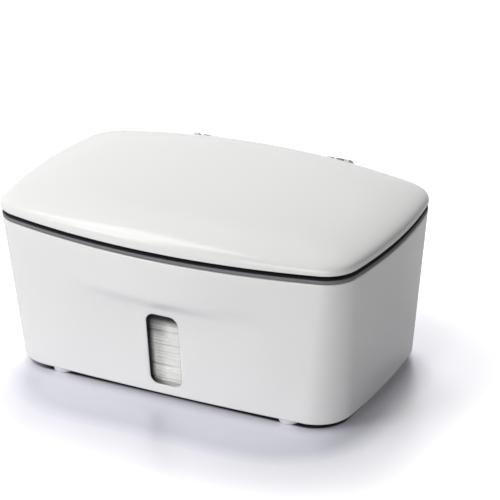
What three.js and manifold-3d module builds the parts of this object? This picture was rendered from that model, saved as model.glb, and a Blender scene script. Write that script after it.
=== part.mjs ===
// A wipes dispenser for a changing table: a tapered tub with a hinged, gasketed lid, a clear
// window that shows the stack, and a weighted plate that rides down on the wipes.
// Millimetres, +Z up, front facing -Y, origin on the floor at the middle of the object's box.
import * as THREE from "three";
import { mergeVertices } from "three/addons/utils/BufferGeometryUtils.js";
import Module from "manifold-3d";

const wasm = await Module();
wasm.setup();

// Clearances
const seatGap = 0.3; // between faces that touch on the real thing
const runningGap = 0.08; // hinge pin in its bores, on the radius
const cutOver = 4; // how far a cutting tool runs past what it cuts

// The plan outline at the seam under the lid, and at the underside
const seamWidth = 222;
const seamDepth = 144;
const seamFrontBow = 15.8;
const seamSideBow = 9.7;
const seamCorner = 19.2;
const sideTaper = 8.8; // how far each end comes in from the seam down to the underside
const frontTaper = 12.5; // the same for the front and the back
const footFrontBow = 2.9;
const footSideBow = 4;
const footCorner = 21;

// Heights from the floor
const seamHeight = 93.4; // the lid's lower edge
const seamGap = 4.9; // from the lid's lower edge down to the tub's rim
const undersideHeight = 2.5;

// Tub
const tubWall = 2.6;
const tubFloor = 3.6;
const tubBottomRound = 2.4;
const tubInnerRound = 1.6;
const rimWidth = 6.2;
const rimThickness = 2.6;
const rimUndercut = 3; // height of the slope that carries the rim
const rimEdgeRound = 0.8;

// The brow: the upper front bulges over a flatter, set-back face that holds the window
const browDepth = 3.3;
const browHalfSpan = 60;
const browBottom = 54;
const browTop = 67;

// Window
const windowWidth = 19.4;
const windowHeight = 43.6;
const windowCorner = 5;
const windowCentreHeight = 30.8;
const paneLap = 1.9;
const paneThickness = 1.4;

// Feet
const footPadRadius = 5.8;
const footPadHeight = 3; // floor to the pad's top
const footPadRound = 0.6;
const footStemRadius = 2.1;
const footStemHeight = 1.6;
const footFromEnd = 32.2; // a foot's middle, in from the underside's ends
const footFromFront = 8.1; // and from its front and back

// Lid shell
const lidWall = 2.2;
const lidLip = 1.15; // upright part of the lid's edge
const lidRoundWidth = 25.6;
const lidRoundHeight = 6.2;
const lidArch = 6.35; // how far the lid's middle stands over its left and right ends
const lidCamber = 0.9; // and over its front and back
const lidEdgeRound = 0.5;
const seatRibInset = 4.8;
const seatRibWidth = 1.5;
const seatRibFlank = 0.3;

// Lid liner, a tray that closes the lid from below and plugs the tub's mouth
const linerDepth = 7.4; // from the lid's lower edge down to the liner's underside
const linerPanel = 1.8;
const linerFlange = 1;
const linerFlangeInset = 3.4;
const linerWall = 1.7;
const linerChamfer = 1.2;
const plugGap = 0.7; // between the plug and the tub's rim, all round

// Gasket, a soft ring stretched round the plug, with a lip that lies on the tub's rim
const gasketLipInset = 0.4;
const gasketLipHeight = 2;
const gasketNeckInset = 4.4;
const gasketEdge = 0.4;

// Hinge, two knuckles at the back
const hingeSpacing = 85;
const hingeRise = 3.4; // the axis lies this far above the lid's lower edge
const hingeProud = 1.15; // the axis lies this far behind the lid's back edge there
const barrelRadius = 2.9;
const lugWidth = 4.6;
const lugNeck = 3.8;
const lugReach = 14.5; // how far below the rim a lug's gusset starts
const lugShoulder = 4.5; // how far below the rim the gusset is full
const notchWidth = 7.6;
const notchClearance = 0.7;
const cheekWidth = 3.4;
const cheekRise = 4.4;
const cheekTip = 1.2;
const pinRadius = 1.25;
const pinRecess = 0.4;

// Stack of folded wipes
const wipeRoomX = 7.6; // between the wipes and the tub's ends, at the floor
const wipeRoomY = 3.9; // and its front and back
const wipeCorner = 8;
const wipeBow = 0.9;
const wipeLayer = 3.8;
const wipeEdgeRound = 0.9;
const wipeForward = 2; // the stack leans on the window's side of the tub
const wipeStagger = 0.5;
const layersUnderTop = 11;

// Weighted plate
const plateRoomX = 7.1;
const plateRoomY = 5.9;
const plateCorner = 16;
const plateBow = 3;
const plateHeight = 7;
const plateWall = 1.8;
const plateSkin = 2.2;
const plateEdgeRound = 1.8;
const plateDish = 1.2;
const plateFloor = 1.6;
const weightThickness = 2.6;
const slotLength = 80;
const slotWidth = 16;
const slotFlare = 3;
const slotFlareDepth = 2.4;
const slotCollar = 1.6;

// Shares and counts
const lidSquareness = 3.12; // exponent of the lid's rounded edge: 2 is a plain ellipse
const lidArchPower = 2.4; // exponent of the arch: over 2 is flatter in the middle
const lidSoftShare = 0.8; // how near the outline comes to an ellipse where the edge has run out
const browFade = 1.25; // exponent of the brow's fading towards its ends
const wipeStaggerTurn = 2.4; // radians between one layer's shift and the next
const lidOuterShares = [0, 0.12, 0.28, 0.46, 0.64, 0.82, 1]; // along the lid's rounded edge
const lidInnerShares = [1, 0.7];
const lidInnerRimShare = 0.2;
const crownShares = [0.7, 0.38]; // of the way out from the lid's middle
const dishShares = [0.85, 0.65, 0.45];
const cheekTurn = 2.2; // half turns from the cheek's front round to its tip
const largeSteps = { side: 2, corner: 5, front: 8 };
const wipeSteps = { side: 1, corner: 3, front: 2 };
const roundSteps = 3;
const turnSteps = 16;
const slotSteps = 8;

const seam = {
  width: seamWidth,
  depth: seamDepth,
  frontBow: seamFrontBow,
  sideBow: seamSideBow,
  corner: seamCorner,
};
const foot = {
  width: seamWidth - 2 * sideTaper,
  depth: seamDepth - 2 * frontTaper,
  frontBow: footFrontBow,
  sideBow: footSideBow,
  corner: footCorner,
};
const seamOutline = bowedOutline(seam);
const rimHeight = seamHeight - seamGap; // the tub's top face, under the gasket
const hingeHeight = seamHeight + hingeRise;
const hingeY = backOf(seamOutline, hingeSpacing / 2) + hingeProud;
const hingeRear = hingeY + barrelRadius;
const floorTop = undersideHeight + tubFloor;
const linerBottom = seamHeight - linerDepth;
const rimTaper = (seamDepth - tubSizeAt(rimHeight - rimThickness).depth) / 2;
const plugInset = rimWidth + rimTaper + plugGap;

// Solids and geometry

function toSolid(geometry) {
  const bare = new THREE.BufferGeometry();
  bare.setAttribute("position", geometry.getAttribute("position"));
  if (geometry.index) bare.setIndex(geometry.index);
  const merged = mergeVertices(bare);
  return new wasm.Manifold(
    new wasm.Mesh({
      numProp: 3,
      vertProperties: new Float32Array(merged.getAttribute("position").array),
      triVerts: new Uint32Array(merged.index.array),
    }),
  );
}

function toGeometry(solid) {
  const mesh = solid.getMesh();
  const points = [];
  for (let i = 0; i < mesh.numVert; i++) {
    const at = i * mesh.numProp;
    points.push(mesh.vertProperties[at], mesh.vertProperties[at + 1], mesh.vertProperties[at + 2]);
  }
  const geometry = new THREE.BufferGeometry();
  geometry.setAttribute("position", new THREE.Float32BufferAttribute(points, 3));
  geometry.setIndex([...mesh.triVerts]);
  geometry.computeVertexNormals();
  return geometry;
}

// Skins rings of equal counts, each anticlockwise from above. The first ring is capped facing down
// and the last facing up, or the last joins the first when the rings go round a closed section.
function loft(rings, closed = false) {
  const count = rings[0].length;
  const points = rings.flat();
  const faces = [];
  const bands = closed ? rings.length : rings.length - 1;
  for (let band = 0; band < bands; band++) {
    const low = band * count;
    const high = ((band + 1) % rings.length) * count;
    for (let i = 0; i < count; i++) {
      const next = (i + 1) % count;
      faces.push(low + i, low + next, high + next, low + i, high + next, high + i);
    }
  }
  if (!closed) {
    capRing(points, faces, rings[0], 0, false);
    capRing(points, faces, rings.at(-1), (rings.length - 1) * count, true);
  }
  const geometry = new THREE.BufferGeometry();
  geometry.setAttribute("position", new THREE.Float32BufferAttribute(points.flatMap((p) => [p.x, p.y, p.z]), 3));
  geometry.setIndex(faces);
  return geometry;
}

function capRing(points, faces, ring, start, up) {
  const centre = new THREE.Vector3();
  for (const point of ring) centre.addScaledVector(point, 1 / ring.length);
  const hub = points.push(centre) - 1;
  for (let i = 0; i < ring.length; i++) {
    const a = start + i;
    const b = start + ((i + 1) % ring.length);
    if (up) faces.push(hub, a, b);
    else faces.push(hub, b, a);
  }
}

// A flat outline as a solid standing on z = low
function slab(outline, low, high) {
  const ring = (z) => outline.map((p) => new THREE.Vector3(p.x, p.y, z));
  return toSolid(loft([ring(low), ring(high)]));
}

// A profile in the Y-Z plane as a solid spanning x = left to right
function plateAcross(shape, left, right) {
  const geometry = new THREE.ExtrudeGeometry(shape, {
    depth: right - left,
    bevelEnabled: false,
    curveSegments: turnSteps,
  });
  geometry.applyMatrix4(
    new THREE.Matrix4().makeBasis(
      new THREE.Vector3(0, 1, 0),
      new THREE.Vector3(0, 0, 1),
      new THREE.Vector3(1, 0, 0),
    ),
  );
  geometry.translate(left, 0, 0);
  return toSolid(geometry);
}

// Plan outlines

// A rectangle whose four sides are shallow arcs, with round corners tangent to them
function bowedOutline({ width, depth, frontBow, sideBow, corner }) {
  const arcRadius = (half, bow) => (half * half + bow * bow) / (2 * bow);
  const frontRadius = arcRadius(width / 2, frontBow);
  const sideRadius = arcRadius(depth / 2, sideBow);
  const frontCentre = new THREE.Vector2(0, depth / 2 - frontRadius);
  const sideCentre = new THREE.Vector2(width / 2 - sideRadius, 0);
  // The corner's centre lies where both arcs, taken in by the corner radius, cross.
  const toFront = frontRadius - corner;
  const toSide = sideRadius - corner;
  const between = sideCentre.clone().sub(frontCentre);
  const apart = between.length();
  const along = (toFront * toFront - toSide * toSide + apart * apart) / (2 * apart);
  const aside = Math.sqrt(toFront * toFront - along * along);
  const unit = between.divideScalar(apart);
  const cornerCentre = frontCentre
    .clone()
    .addScaledVector(unit, along)
    .add(new THREE.Vector2(unit.y, -unit.x).multiplyScalar(aside));
  return {
    side: { centre: sideCentre, radius: sideRadius },
    corner: { centre: cornerCentre, radius: corner },
    front: { centre: frontCentre, radius: frontRadius },
    sideEnd: cornerCentre.clone().sub(sideCentre).angle(),
    frontStart: cornerCentre.clone().sub(frontCentre).angle(),
  };
}

// The outline's points, anticlockwise, taken in by inset
function outlinePoints(outline, inset = 0, steps = largeSteps) {
  const quarter = [];
  const arc = ({ centre, radius }, from, to, count) => {
    for (let i = 0; i < count; i++) {
      const angle = from + ((to - from) * i) / count;
      quarter.push(
        new THREE.Vector2(Math.cos(angle), Math.sin(angle)).multiplyScalar(radius - inset).add(centre),
      );
    }
  };
  arc(outline.side, 0, outline.sideEnd, steps.side);
  arc(outline.corner, outline.sideEnd, outline.frontStart, steps.corner);
  arc(outline.front, outline.frontStart, Math.PI / 2, steps.front);
  quarter.push(new THREE.Vector2(0, outline.front.centre.y + outline.front.radius - inset));
  const mirrored = (points, x, y) => points.map((p) => new THREE.Vector2(p.x * x, p.y * y));
  const back = [...quarter].reverse();
  return [
    ...quarter,
    ...mirrored(back.slice(1), -1, 1),
    ...mirrored(quarter.slice(1), -1, -1),
    ...mirrored(back.slice(1, -1), 1, -1),
  ];
}

// The tub's outline at a height, between the foot and the seam
function tubSizeAt(z) {
  const share = (z - undersideHeight) / (seamHeight - undersideHeight);
  const size = {};
  for (const key of Object.keys(seam)) size[key] = foot[key] + (seam[key] - foot[key]) * share;
  return size;
}

// How far the front face is pushed out by the brow, or in below it
function browPush(x, z) {
  const across = Math.max(0, 1 - (x / browHalfSpan) ** 2) ** browFade;
  if (z >= browTop) return (browDepth * across * (seamHeight - z)) / (seamHeight - browTop);
  if (z <= browBottom) return (-browDepth * across * (z - undersideHeight)) / (browBottom - undersideHeight);
  return browDepth * across * (2 * THREE.MathUtils.smoothstep(z, browBottom, browTop) - 1);
}

function tubRing(z, inset) {
  return outlinePoints(bowedOutline(tubSizeAt(z)), inset).map((p) => {
    const push = p.y < 0 ? browPush(p.x, z) : 0;
    return new THREE.Vector3(p.x, p.y - push, z);
  });
}

// The tub's outer face in the middle of the front, at a height
function frontFaceY(z) {
  return -tubSizeAt(z).depth / 2 - browPush(0, z);
}

// Where an outline's back arc lies at a given x
function backOf({ front }, x) {
  return front.centre.y + Math.sqrt(front.radius ** 2 - x ** 2);
}

// The outer face of the back wall at a height, at the hinges
function backFaceY(z) {
  return backOf(bowedOutline(tubSizeAt(z)), hingeSpacing / 2);
}

// A quarter round as [inset, rise] pairs, from a flat face out to an upright one
function quarterRound(radius, steps = roundSteps) {
  const pairs = [];
  for (let i = 0; i <= steps; i++) {
    const angle = ((Math.PI / 2) * i) / steps;
    pairs.push([radius * (1 - Math.sin(angle)), radius * (1 - Math.cos(angle))]);
  }
  return pairs;
}

function roundedRectangle(width, height, corner) {
  const shape = new THREE.Shape();
  const x = width / 2 - corner;
  const y = height / 2 - corner;
  shape.absarc(x, -y, corner, -Math.PI / 2, 0);
  shape.absarc(x, y, corner, 0, Math.PI / 2);
  shape.absarc(-x, y, corner, Math.PI / 2, Math.PI);
  shape.absarc(-x, -y, corner, Math.PI, Math.PI * 1.5);
  return shape;
}

// Tub

function browHeights(steps) {
  const heights = [];
  for (let i = 0; i <= steps; i++) heights.push(browBottom + ((browTop - browBottom) * i) / steps);
  return heights;
}

function tubShell() {
  const outside = [
    ...quarterRound(tubBottomRound).map(([inset, rise]) => [undersideHeight + rise, inset]),
    ...browHeights(roundSteps + 1).map((z) => [z, 0]),
    [rimHeight - rimEdgeRound, 0],
    [rimHeight, rimEdgeRound],
  ];
  const inside = [
    [rimHeight, rimWidth],
    [rimHeight - rimThickness, rimWidth],
    [rimHeight - rimThickness - rimUndercut, tubWall],
    ...browHeights(roundSteps)
      .reverse()
      .map((z) => [z, tubWall]),
    ...quarterRound(tubInnerRound, 2)
      .reverse()
      .map(([inset, rise]) => [floorTop + rise, tubWall + inset]),
  ];
  const shell = toSolid(loft([...outside, ...inside].map(([z, inset]) => tubRing(z, inset))));
  return shell;
}

// A lug's section: a gusset on the back wall, a neck past the gasket and a barrel round the pin
function lugSection() {
  const neckY = hingeRear - lugNeck;
  const inWall = (z) => backFaceY(z) - tubWall / 2;
  const neckTurn = Math.acos((hingeY - neckY) / barrelRadius);
  const shape = new THREE.Shape();
  shape.moveTo(inWall(rimHeight - lugReach), rimHeight - lugReach);
  shape.lineTo(hingeRear, rimHeight - lugShoulder);
  shape.lineTo(hingeRear, hingeHeight);
  shape.absarc(hingeY, hingeHeight, barrelRadius, 0, Math.PI + neckTurn);
  shape.lineTo(neckY, rimHeight - rimEdgeRound);
  shape.lineTo(inWall(rimHeight), rimHeight - rimEdgeRound);
  return shape;
}

// A circle in the Y-Z plane at the hinge axis
function axisCircle(radius) {
  const shape = new THREE.Shape();
  shape.absarc(hingeY, hingeHeight, radius, 0, Math.PI * 2);
  return shape;
}

function windowTilt() {
  const low = windowCentreHeight - windowHeight / 2;
  const high = windowCentreHeight + windowHeight / 2;
  return Math.atan((frontFaceY(low) - frontFaceY(high)) / (high - low));
}

// A window-shaped prism whose outer face lies depth behind the tub's front face
function windowPrism(grow, depth, thickness) {
  const shape = roundedRectangle(windowWidth + 2 * grow, windowHeight + 2 * grow, windowCorner + grow);
  const geometry = new THREE.ExtrudeGeometry(shape, {
    depth: thickness,
    bevelEnabled: false,
    curveSegments: roundSteps + 2,
  });
  geometry.rotateX(Math.PI / 2);
  geometry.translate(0, depth + thickness, 0);
  geometry.rotateX(windowTilt());
  geometry.translate(0, frontFaceY(windowCentreHeight), windowCentreHeight);
  return toSolid(geometry);
}

function bodyShell() {
  let shell = tubShell();
  for (const side of [-1, 1]) {
    const x = (side * hingeSpacing) / 2;
    shell = shell.add(plateAcross(lugSection(), x - lugWidth / 2, x + lugWidth / 2));
    const bore = axisCircle(pinRadius + runningGap);
    shell = shell.subtract(plateAcross(bore, x - lugWidth, x + lugWidth));
  }
  const skinOutside = tubWall - paneThickness;
  shell = shell.subtract(windowPrism(0, -cutOver, cutOver + tubWall));
  shell = shell.subtract(windowPrism(paneLap + seatGap, skinOutside, cutOver));
  for (const [x, y] of footPlaces()) shell = shell.subtract(footPocket(x, y));
  return shell;
}

// Feet

function footPlaces() {
  const places = [];
  const reachX = foot.width / 2 - footFromEnd;
  const reachY = foot.depth / 2 - footFromFront;
  for (const y of [-1, 1]) {
    for (const x of [-1, 1]) places.push([x * reachX, y * reachY]);
  }
  return places;
}

function lathe(profile) {
  const points = profile.map(([radius, z]) => new THREE.Vector2(radius, z));
  const geometry = new THREE.LatheGeometry(points, turnSteps);
  geometry.rotateX(Math.PI / 2);
  return geometry;
}

function footPocket(x, y) {
  const padTop = footPadHeight + seatGap;
  const stemTop = footPadHeight + footStemHeight + seatGap;
  const geometry = lathe([
    [0, -cutOver],
    [footPadRadius + seatGap, -cutOver],
    [footPadRadius + seatGap, padTop],
    [footStemRadius + seatGap, padTop],
    [footStemRadius + seatGap, stemTop],
    [0, stemTop],
  ]);
  geometry.translate(x, y, 0);
  return toSolid(geometry);
}

function footPad() {
  const stemTop = footPadHeight + footStemHeight;
  return lathe([
    [0, 0],
    [footPadRadius - footPadRound, 0],
    [footPadRadius, footPadRound],
    [footPadRadius, footPadHeight],
    [footStemRadius, footPadHeight],
    [footStemRadius, stemTop],
    [0, stemTop],
  ]);
}

// Lid

// A ring of the lid's skin. Share 0 is the rim and 1 is where the rounded edge has run out into
// the crown; the inner skin lies one wall inside the outer one. On the way in, the outline turns
// softer, from the seam's towards an ellipse.
function lidRing(share, inner) {
  const wall = inner ? lidWall : 0;
  const angle = (share * Math.PI) / 2;
  const fall = lidRoundWidth * (1 - Math.max(0, Math.cos(angle)) ** (2 / lidSquareness));
  const rise = lidRoundHeight * Math.sin(angle) ** (2 / lidSquareness);
  const halfWidth = seamWidth / 2 - wall;
  const halfDepth = seamDepth / 2 - wall;
  const soft = (lidSoftShare * fall) / lidRoundWidth;
  const base = seamHeight + lidLip + rise - wall;
  return outlinePoints(seamOutline, wall).map((p) => {
    const direction = Math.atan2(p.y / halfDepth, p.x / halfWidth);
    const scaled = new THREE.Vector2((p.x * (halfWidth - fall)) / halfWidth, (p.y * (halfDepth - fall)) / halfDepth);
    const oval = new THREE.Vector2((halfWidth - fall) * Math.cos(direction), (halfDepth - fall) * Math.sin(direction));
    const at = scaled.lerp(oval, soft);
    return new THREE.Vector3(at.x, at.y, base + crownAt(at.x, at.y) * share);
  });
}

// The crown's height over the lid's ends: the lid arches from left to right, and a little from
// front to back
function crownAt(x, y) {
  const arch = lidArch * (1 - Math.abs(x / (seamWidth / 2)) ** lidArchPower);
  return arch + lidCamber * (1 - (y / (seamDepth / 2)) ** 2);
}

// The rings inside the rounded edge, drawn in towards the middle
function crownRings(inner) {
  const edge = lidRing(1, inner);
  return crownShares.map((share) =>
    edge.map((p) => {
      const x = p.x * share;
      const y = p.y * share;
      return new THREE.Vector3(x, y, p.z - crownAt(p.x, p.y) + crownAt(x, y));
    }),
  );
}

function seamRing(inset, z) {
  return outlinePoints(seamOutline, inset).map((p) => new THREE.Vector3(p.x, p.y, z));
}

function lidSkin() {
  const ribBottom = seamHeight + linerFlange + seatGap;
  const ribEnd = seatRibInset + seatRibWidth;
  const ringOnSkin = (inset) => {
    const share = (2 / Math.PI) * Math.acos((1 - (inset - lidWall) / lidRoundWidth) ** (lidSquareness / 2));
    return lidRing(share, true);
  };
  return [
    ...crownRings(true).reverse(),
    ...lidInnerShares.map((share) => lidRing(share, true)),
    ringOnSkin(ribEnd + seatRibFlank),
    seamRing(ribEnd, ribBottom),
    seamRing(seatRibInset, ribBottom),
    ringOnSkin(seatRibInset - seatRibFlank),
    lidRing(lidInnerRimShare, true),
    seamRing(lidWall, seamHeight),
    seamRing(lidEdgeRound, seamHeight),
    seamRing(0, seamHeight + lidEdgeRound),
    ...lidOuterShares.map((share) => lidRing(share, false)),
    ...crownRings(false),
  ];
}

// A cheek's section: round the pin, drawn up into the lid's back wall
function cheekSection() {
  const shape = new THREE.Shape();
  const top = hingeHeight + cheekRise;
  shape.moveTo(hingeY - barrelRadius, top);
  shape.absarc(hingeY, hingeHeight, barrelRadius, Math.PI, Math.PI * cheekTurn);
  shape.lineTo(hingeY - barrelRadius + cheekTip, top);
  return shape;
}

function lidShell() {
  let shell = toSolid(loft(lidSkin()));
  for (const side of [-1, 1]) {
    const x = (side * hingeSpacing) / 2;
    const reach = notchWidth / 2 + cheekWidth;
    shell = shell.subtract(notchTool(x));
    for (const [left, right] of [
      [x - reach, x - notchWidth / 2],
      [x + notchWidth / 2, x + reach],
    ]) {
      shell = shell.add(plateAcross(cheekSection(), left, right));
    }
    const bore = axisCircle(pinRadius + runningGap);
    shell = shell.subtract(plateAcross(bore, x - reach - cutOver, x + reach + cutOver));
  }
  return shell;
}

// What clears the lid's back edge for a lug
function notchTool(x) {
  const inner = hingeY - barrelRadius - notchClearance;
  const shape = new THREE.Shape();
  shape.moveTo(inner, seamHeight - cutOver);
  shape.lineTo(seamDepth, seamHeight - cutOver);
  shape.lineTo(seamDepth, seamHeight + seamDepth);
  shape.lineTo(inner, seamHeight + seamDepth);
  return plateAcross(shape, x - notchWidth / 2, x + notchWidth / 2);
}

function lidLiner() {
  const stations = [
    [plugInset + linerChamfer, linerBottom],
    [plugInset, linerBottom + linerChamfer],
    [plugInset, seamHeight],
    [linerFlangeInset, seamHeight],
    [linerFlangeInset, seamHeight + linerFlange],
    [plugInset + linerWall, seamHeight + linerFlange],
    [plugInset + linerWall, linerBottom + linerPanel],
  ];
  return toSolid(loft(stations.map(([inset, z]) => seamRing(inset, z))));
}

function lidGasket() {
  const low = rimHeight + seatGap;
  const lipTop = low + gasketLipHeight;
  const top = seamHeight - seatGap;
  const inner = plugInset - seatGap;
  const section = [
    [inner, low],
    [gasketLipInset + gasketEdge, low],
    [gasketLipInset, low + gasketEdge],
    [gasketLipInset, lipTop - gasketEdge],
    [gasketLipInset + gasketEdge, lipTop],
    [gasketNeckInset, lipTop],
    [gasketNeckInset, top],
    [inner, top],
  ];
  return toSolid(loft(section.map(([inset, z]) => seamRing(inset, z)), true));
}

function hingePin() {
  const length = notchWidth + 2 * (cheekWidth - pinRecess);
  const geometry = new THREE.CylinderGeometry(pinRadius, pinRadius, length, turnSteps);
  geometry.rotateZ(Math.PI / 2);
  return geometry;
}

// Wipes

const wipePitch = wipeLayer + seatGap;
const stackBottom = floorTop + seatGap;
const stackTop = stackBottom + (layersUnderTop + 1) * wipePitch - seatGap;

// One folded layer, standing on z = 0, with soft edges
function wipe() {
  const outline = bowedOutline({
    width: foot.width - 2 * (tubWall + wipeRoomX),
    depth: foot.depth - 2 * (tubWall + wipeRoomY),
    frontBow: wipeBow,
    sideBow: wipeBow,
    corner: wipeCorner,
  });
  const stations = [
    [wipeEdgeRound, 0],
    [0, wipeEdgeRound],
    [0, wipeLayer - wipeEdgeRound],
    [wipeEdgeRound, wipeLayer],
  ];
  const ring = ([inset, z]) => outlinePoints(outline, inset, wipeSteps).map((p) => new THREE.Vector3(p.x, p.y, z));
  return loft(stations.map(ring));
}

// Weighted plate

const plateOutline = bowedOutline({
  width: foot.width - 2 * (tubWall + plateRoomX),
  depth: foot.depth - 2 * (tubWall + plateRoomY),
  frontBow: plateBow,
  sideBow: plateBow,
  corner: plateCorner,
});

// A stadium of the slot's size, grown all round
function slotPoints(grow) {
  const radius = slotWidth / 2 + grow;
  const centre = (slotLength - slotWidth) / 2;
  const points = [];
  for (const side of [1, -1]) {
    for (let i = 0; i <= slotSteps; i++) {
      const angle = -side * (Math.PI / 2) + (Math.PI * i) / slotSteps;
      points.push(new THREE.Vector2(side * centre + radius * Math.cos(angle), radius * Math.sin(angle)));
    }
  }
  return points;
}

function slotSlab(grow, low, high) {
  return slab(slotPoints(grow), low, high);
}

function plateCover() {
  const ring = (inset, z) => outlinePoints(plateOutline, inset).map((p) => new THREE.Vector3(p.x, p.y, z));
  const rings = [
    ring(0, 0),
    ...quarterRound(plateEdgeRound)
      .reverse()
      .map(([inset, rise]) => ring(inset, plateHeight - rise)),
  ];
  const edge = rings.at(-1);
  for (const share of dishShares) {
    const drop = plateDish * (1 - share * share);
    rings.push(edge.map((p) => new THREE.Vector3(p.x * share, p.y * share, plateHeight - drop)));
  }
  const cavity = slab(outlinePoints(plateOutline, plateWall), -cutOver, plateHeight - plateSkin);
  const collar = slotSlab(slotCollar, -cutOver, plateHeight);
  const flare = [
    [0, -cutOver],
    [0, plateHeight - slotFlareDepth],
    [slotFlare, plateHeight],
    [slotFlare, plateHeight + cutOver],
  ].map(([grow, z]) => slotPoints(grow).map((p) => new THREE.Vector3(p.x, p.y, z)));
  return toSolid(loft(rings)).subtract(cavity.subtract(collar)).subtract(toSolid(loft(flare)));
}

// A flat layer inside the plate's cover, with a hole that clears the slot's collar
function plateLayer(clearance, low, high) {
  const sheet = slab(outlinePoints(plateOutline, plateWall + clearance), low, high);
  return sheet.subtract(slotSlab(slotCollar + clearance, low - cutOver, high + cutOver));
}

// Materials

const plastic = (color, roughness) => new THREE.MeshStandardMaterial({ color, roughness, metalness: 0 });
const whiteShell = plastic(0xf2f1ef, 0.28);
const whiteLiner = plastic(0xf0efed, 0.42);
const greySilicone = plastic(0x55565c, 0.6);
const footSilicone = plastic(0xe6e5e2, 0.55);
const wipeCloth = plastic(0xf4f3f0, 0.95);
const clearPane = new THREE.MeshStandardMaterial({
  color: 0xf4f7f8,
  roughness: 0.08,
  metalness: 0,
  transparent: true,
  opacity: 0.25,
});
const steel = new THREE.MeshStandardMaterial({ color: 0x9a9ca0, roughness: 0.35, metalness: 1 });

// Assembly

function piece(name, geometry, material, x = 0, y = 0, z = 0) {
  const mesh = new THREE.Mesh(geometry, material);
  mesh.name = name;
  mesh.position.set(x, y, z);
  return mesh;
}

const tub = new THREE.Group();
tub.add(piece("body_shell", toGeometry(bodyShell()), whiteShell));
tub.add(piece("window_pane", toGeometry(windowPrism(paneLap, tubWall - paneThickness + seatGap, paneThickness)), clearPane));
const footNames = ["foot_front_left", "foot_front_right", "foot_rear_left", "foot_rear_right"];
footPlaces().forEach(([x, y], i) => tub.add(piece(footNames[i], footPad(), footSilicone, x, y)));

const lid = new THREE.Group();
lid.add(piece("lid_shell", toGeometry(lidShell()), whiteShell));
lid.add(piece("lid_liner", toGeometry(lidLiner()), whiteLiner));
lid.add(piece("lid_gasket", toGeometry(lidGasket()), greySilicone));
for (const [name, side] of [["hinge_pin_left", -1], ["hinge_pin_right", 1]]) {
  lid.add(piece(name, hingePin(), steel, (side * hingeSpacing) / 2, hingeY, hingeHeight));
}

const stack = new THREE.Group();
stack.position.set(0, -wipeForward, stackBottom);
for (let i = 0; i <= layersUnderTop; i++) {
  const name = i < layersUnderTop ? `wipe_layer_${String(i + 1).padStart(2, "0")}` : "top_wipe";
  const shift = wipeStagger * Math.sin(i * wipeStaggerTurn);
  stack.add(piece(name, wipe(), wipeCloth, shift, shift / 2, i * wipePitch));
}

const weightedPlate = new THREE.Group();
weightedPlate.position.set(0, -wipeForward, stackTop + seatGap);
weightedPlate.add(piece("plate_cover", toGeometry(plateCover()), whiteLiner));
weightedPlate.add(piece("plate_base", toGeometry(plateLayer(seatGap, 0, plateFloor)), whiteLiner));
const weightBottom = plateFloor + seatGap;
weightedPlate.add(
  piece("plate_weight", toGeometry(plateLayer(seatGap, weightBottom, weightBottom + weightThickness)), steel),
);

const dispenser = new THREE.Group();
dispenser.position.y = -(hingeRear - seamDepth / 2) / 2; // the middle of the whole box
dispenser.add(tub, lid, stack, weightedPlate);

export default dispenser;
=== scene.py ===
"""Dresses the wipes dispenser: fine skins over the CAD parts, materials, floor, light and camera.

Shapes are in millimetres and become metres where a mesh is made. Materials, floor, lamps and
camera are in metres. The front faces -Y.
"""
import math

import bpy
from mathutils import Matrix, Vector, noise


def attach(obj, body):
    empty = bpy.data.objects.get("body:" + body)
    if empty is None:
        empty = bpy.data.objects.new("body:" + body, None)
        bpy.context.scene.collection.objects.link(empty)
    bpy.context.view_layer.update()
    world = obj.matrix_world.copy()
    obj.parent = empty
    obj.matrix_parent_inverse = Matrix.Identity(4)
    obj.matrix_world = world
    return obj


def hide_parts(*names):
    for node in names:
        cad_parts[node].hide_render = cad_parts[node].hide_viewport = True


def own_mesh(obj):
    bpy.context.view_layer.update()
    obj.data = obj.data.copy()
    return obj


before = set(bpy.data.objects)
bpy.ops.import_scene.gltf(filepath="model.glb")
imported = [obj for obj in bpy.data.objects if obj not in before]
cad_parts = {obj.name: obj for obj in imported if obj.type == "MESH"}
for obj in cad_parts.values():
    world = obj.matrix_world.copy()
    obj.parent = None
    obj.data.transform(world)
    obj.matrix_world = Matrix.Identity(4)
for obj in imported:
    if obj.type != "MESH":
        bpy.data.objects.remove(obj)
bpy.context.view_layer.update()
MM = 0.001
SIDES = ((-1, "left"), (1, "right"))

# Tub, as in the CAD: its outline at the bottom and at the seam, heights, walls and brow. The
# rim's sizes are its flange's width, and how far below the top its inner face and root lie.
SHIFT_Y = -0.887  # the CAD's origin is the middle of its whole box, hinges included
BASE = dict(width=204.4, depth=119, front_bow=2.9, side_bow=4, corner=21)
SEAM = dict(width=222, depth=144, front_bow=15.8, side_bow=9.7, corner=19.2)
HALF_X, HALF_Y = SEAM["width"] / 2, SEAM["depth"] / 2
UNDER_Z, FLOOR_TOP, RIM_Z, SEAM_Z = 2.5, 6.1, 88.5, 93.4
WALL = 2.6
RIM_WIDTH, RIM_FACE, RIM_ROOT = 6.2, 2.6, 5.6
BROW, BROW_SPAN, BROW_LOW, BROW_HIGH = 3.3, 60, 54, 67

# Window and pane. PANE_GAP is the room round the pane in its pocket.
WINDOW = dict(width=19.4, height=43.6, corner=5, z=30.8)
PANE, PANE_LAP, PANE_GAP = 1.4, 1.9, 0.3

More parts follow.
